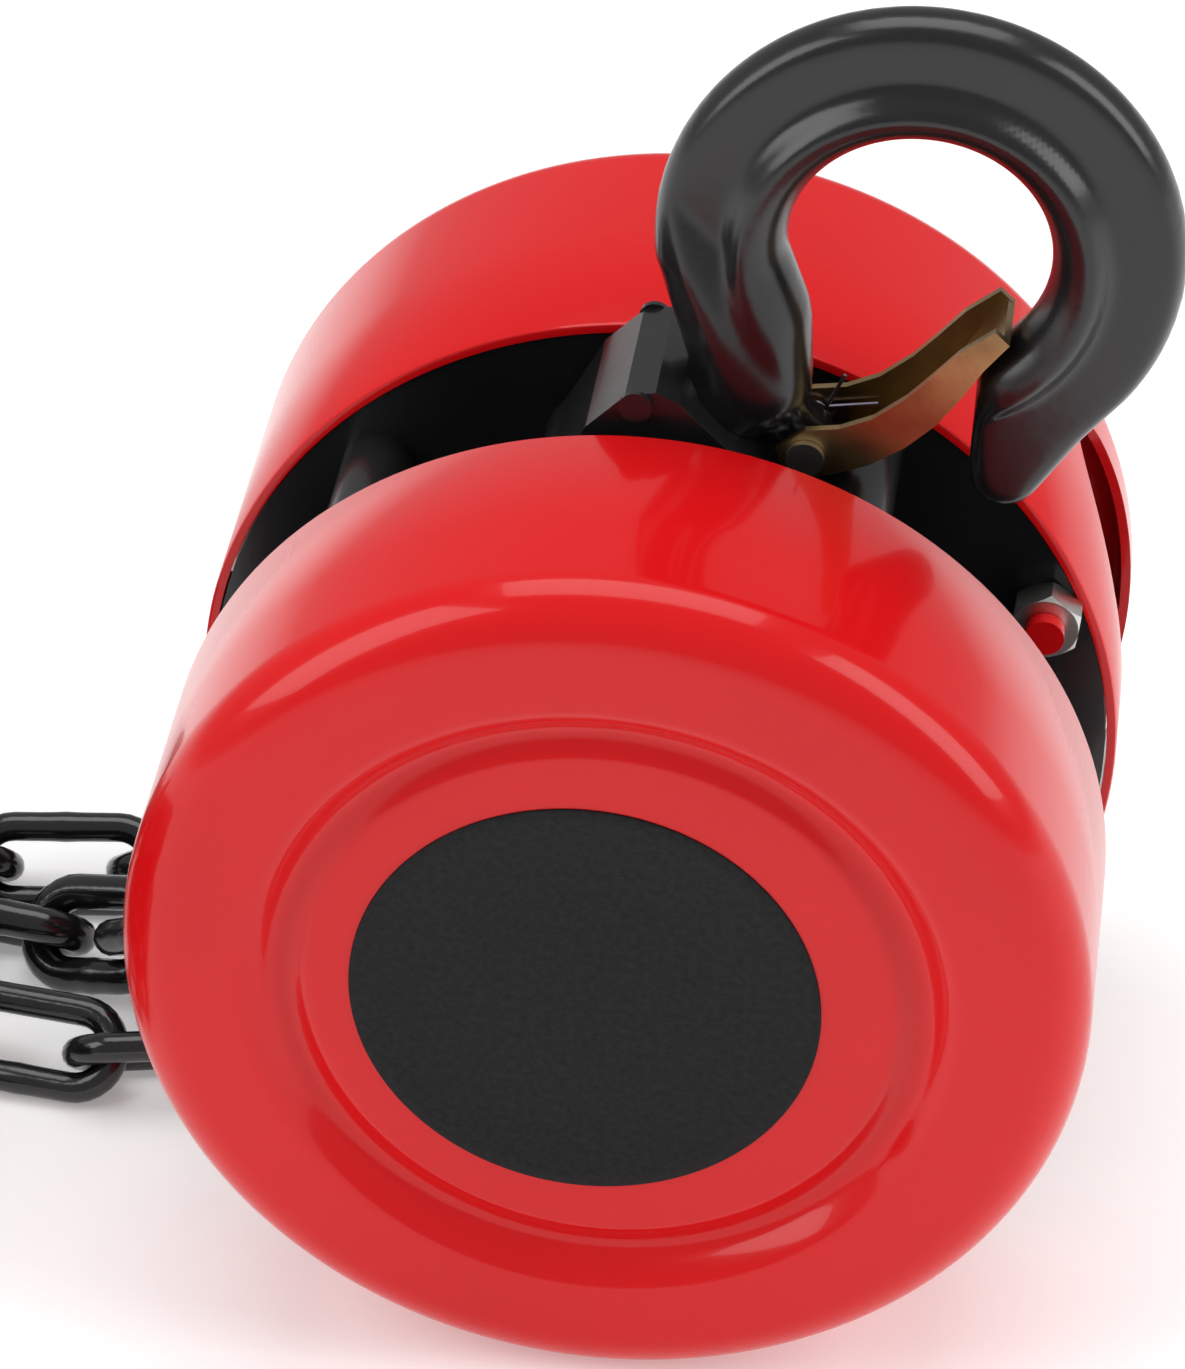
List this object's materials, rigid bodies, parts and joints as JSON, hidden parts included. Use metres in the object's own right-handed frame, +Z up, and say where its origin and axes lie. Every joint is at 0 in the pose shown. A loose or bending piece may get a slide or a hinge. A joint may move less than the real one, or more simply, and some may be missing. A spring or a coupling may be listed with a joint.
{
  "type": "hand chain hoist",
  "caption": "Hand chain hoist with two round covers, a swivelling top hook, and a load chain and hand chain coiled beside it.",
  "frame": {"origin": "on the surface the hoist stands on, under the middle of its covers and top hook, without the chains", "axes": "+X to the right seen from the gear cover, +Y along the shaft from the gear cover to the hand wheel cover, +Z up"},
  "size_m": [0.3779, 0.2651, 0.2058],
  "materials": {
    "red_paint": "gloss enamel",
    "label": "matte, fine grain",
    "zinc": "zinc plated",
    "black_paint": "gloss",
    "bearing_steel": "ground",
    "bronze": "turned",
    "gear_steel": "machined",
    "cast_steel": "cast, cleaned",
    "lining": "woven friction lining",
    "spring_steel": "oiled wire",
    "hook_black": "satin black",
    "latch_gold": "yellow passivated",
    "chain_black": "gloss black oxide"
  },
  "bodies": {
    "hoist_frame": {"gear_cover": "red_paint", "label_disc": "label", "wheel_cover": "red_paint", "cover_studs": "red_paint", "cover_nuts": "zinc", "front_plate": "black_paint", "rear_plate": "black_paint", "stay_rods": "black_paint", "stay_nuts": "zinc", "top_pin": "zinc", "anchor_pin": "zinc", "gear_plate": "zinc", "gear_spacers": "zinc", "gear_screws": "zinc", "sheave_bearings": "bearing_steel", "gear_bushes": "bronze", "pawl_pins": "zinc", "pawl_springs": "spring_steel", "guide_pins": "zinc", "chain_stripper": "black_paint", "load_chain_on_sheave": "chain_black", "load_chain_run": "chain_black", "load_chain_coil": "chain_black", "load_chain_end": "chain_black", "hand_chain_on_wheel": "chain_black", "hand_chain_run": "chain_black", "hand_chain_coil": "chain_black", "hand_chain_back": "chain_black"},
    "load_sheave": {"load_sheave": "cast_steel", "load_gear": "gear_steel", "load_gear_ring": "gear_steel"},
    "disc_gear_left": {"disc_gear_left": "gear_steel"},
    "disc_gear_right": {"disc_gear_right": "gear_steel"},
    "input": {"input_shaft": "gear_steel", "brake_hub": "gear_steel", "friction_plates": "lining", "hand_wheel": "cast_steel", "castle_nut": "zinc", "split_pin": "zinc"},
    "ratchet": {"ratchet_disc": "gear_steel"},
    "pawl_left": {"pawl_left": "gear_steel"},
    "pawl_right": {"pawl_right": "gear_steel"},
    "guide_roller_left": {"guide_roller_left": "bearing_steel"},
    "guide_roller_right": {"guide_roller_right": "bearing_steel"},
    "top_yoke": {"top_yoke_front": "black_paint", "top_yoke_rear": "black_paint", "top_yoke_rivets": "black_paint"},
    "top_hook": {"top_hook": "hook_black", "top_latch_rivet": "zinc", "top_latch_spring": "spring_steel"},
    "top_latch": {"top_latch": "latch_gold"},
    "bottom_yoke": {"chain_pin": "zinc", "bottom_yoke_front": "black_paint", "bottom_yoke_rear": "black_paint", "bottom_yoke_rivets": "black_paint"},
    "bottom_hook": {"bottom_hook": "hook_black", "bottom_latch_rivet": "zinc", "bottom_latch_spring": "spring_steel"},
    "bottom_latch": {"bottom_latch": "latch_gold"}
  },
  "joints": [
    {"name": "load_sheave_spin", "type": "hinge", "parent": "hoist_frame", "child": "load_sheave", "pos_m": [-0.00305, -0.00545, 0.071], "axis": [0, 1, 0], "continuous": true, "deforming": ["load_chain_on_sheave"]},
    {"name": "disc_gear_left_spin", "type": "hinge", "parent": "hoist_frame", "child": "disc_gear_left", "pos_m": [-0.03878, -0.047, 0.06661], "axis": [0, 1, 0], "continuous": true},
    {"name": "disc_gear_right_spin", "type": "hinge", "parent": "hoist_frame", "child": "disc_gear_right", "pos_m": [0.03268, -0.047, 0.07539], "axis": [0, 1, 0], "continuous": true},
    {"name": "input_shaft_spin", "type": "hinge", "parent": "hoist_frame", "child": "input", "pos_m": [-0.00305, 0.03, 0.071], "axis": [0, 1, 0], "continuous": true, "deforming": ["hand_chain_on_wheel"]},
    {"name": "ratchet_spin", "type": "hinge", "parent": "hoist_frame", "child": "ratchet", "pos_m": [-0.00305, 0.027, 0.071], "axis": [0, 1, 0], "continuous": true},
    {"name": "pawl_left_swing", "type": "hinge", "parent": "hoist_frame", "child": "pawl_left", "pos_m": [-0.04248, 0.0267, 0.09469], "axis": [0, 1, 0], "range_deg": [-6, 12], "stiffness_Nm_per_rad": 0.05, "deforming": ["pawl_springs"]},
    {"name": "pawl_right_swing", "type": "hinge", "parent": "hoist_frame", "child": "pawl_right", "pos_m": [0.03638, 0.0267, 0.04731], "axis": [0, 1, 0], "range_deg": [-6, 12], "stiffness_Nm_per_rad": 0.05},
    {"name": "guide_roller_left_spin", "type": "hinge", "parent": "hoist_frame", "child": "guide_roller_left", "pos_m": [-0.04895, -0.00545, 0.05697], "axis": [0, 1, 0], "continuous": true},
    {"name": "guide_roller_right_spin", "type": "hinge", "parent": "hoist_frame", "child": "guide_roller_right", "pos_m": [0.04286, -0.00545, 0.05697], "axis": [0, 1, 0], "continuous": true},
    {"name": "top_yoke_swing", "type": "hinge", "parent": "hoist_frame", "child": "top_yoke", "pos_m": [-0.00936, -0.00545, 0.12241], "axis": [0, 1, 0], "range_deg": [-104.6, 0]},
    {"name": "top_hook_swivel", "type": "hinge", "parent": "top_yoke", "child": "top_hook", "pos_m": [-0.00936, -0.00545, 0.12241], "axis": [0.7108, 0, 0.7034], "range_deg": [-25, 25]},
    {"name": "top_latch_swing", "type": "hinge", "parent": "top_hook", "child": "top_latch", "pos_m": [0.02075, -0.00545, 0.13463], "axis": [0, 1, 0], "range_deg": [-25, 0], "stiffness_Nm_per_rad": 0.05, "deforming": ["top_latch_spring"]},
    {"name": "bottom_yoke_swing", "type": "hinge", "parent": "hoist_frame", "child": "bottom_yoke", "pos_m": [-0.24602, 0.09174, 0.01218], "axis": [-0.0342, -0.0008, -0.9994], "range_deg": [-15, 4]},
    {"name": "bottom_hook_swivel", "type": "hinge", "parent": "bottom_yoke", "child": "bottom_hook", "pos_m": [-0.24602, 0.09174, 0.01218], "axis": [0.9992, 0.0221, -0.0342], "continuous": true},
    {"name": "bottom_latch_swing", "type": "hinge", "parent": "bottom_hook", "child": "bottom_latch", "pos_m": [-0.21576, 0.0799, 0.01115], "axis": [-0.0342, -0.0008, -0.9994], "range_deg": [-25, 0], "stiffness_Nm_per_rad": 0.05, "deforming": ["bottom_latch_spring"]}
  ],
  "couplings": [
    {"joint": "disc_gear_left_spin", "follows": "load_sheave_spin", "ratio": -3},
    {"joint": "disc_gear_right_spin", "follows": "load_sheave_spin", "ratio": -3},
    {"joint": "input_shaft_spin", "follows": "load_sheave_spin", "ratio": 11.4}
  ]
}
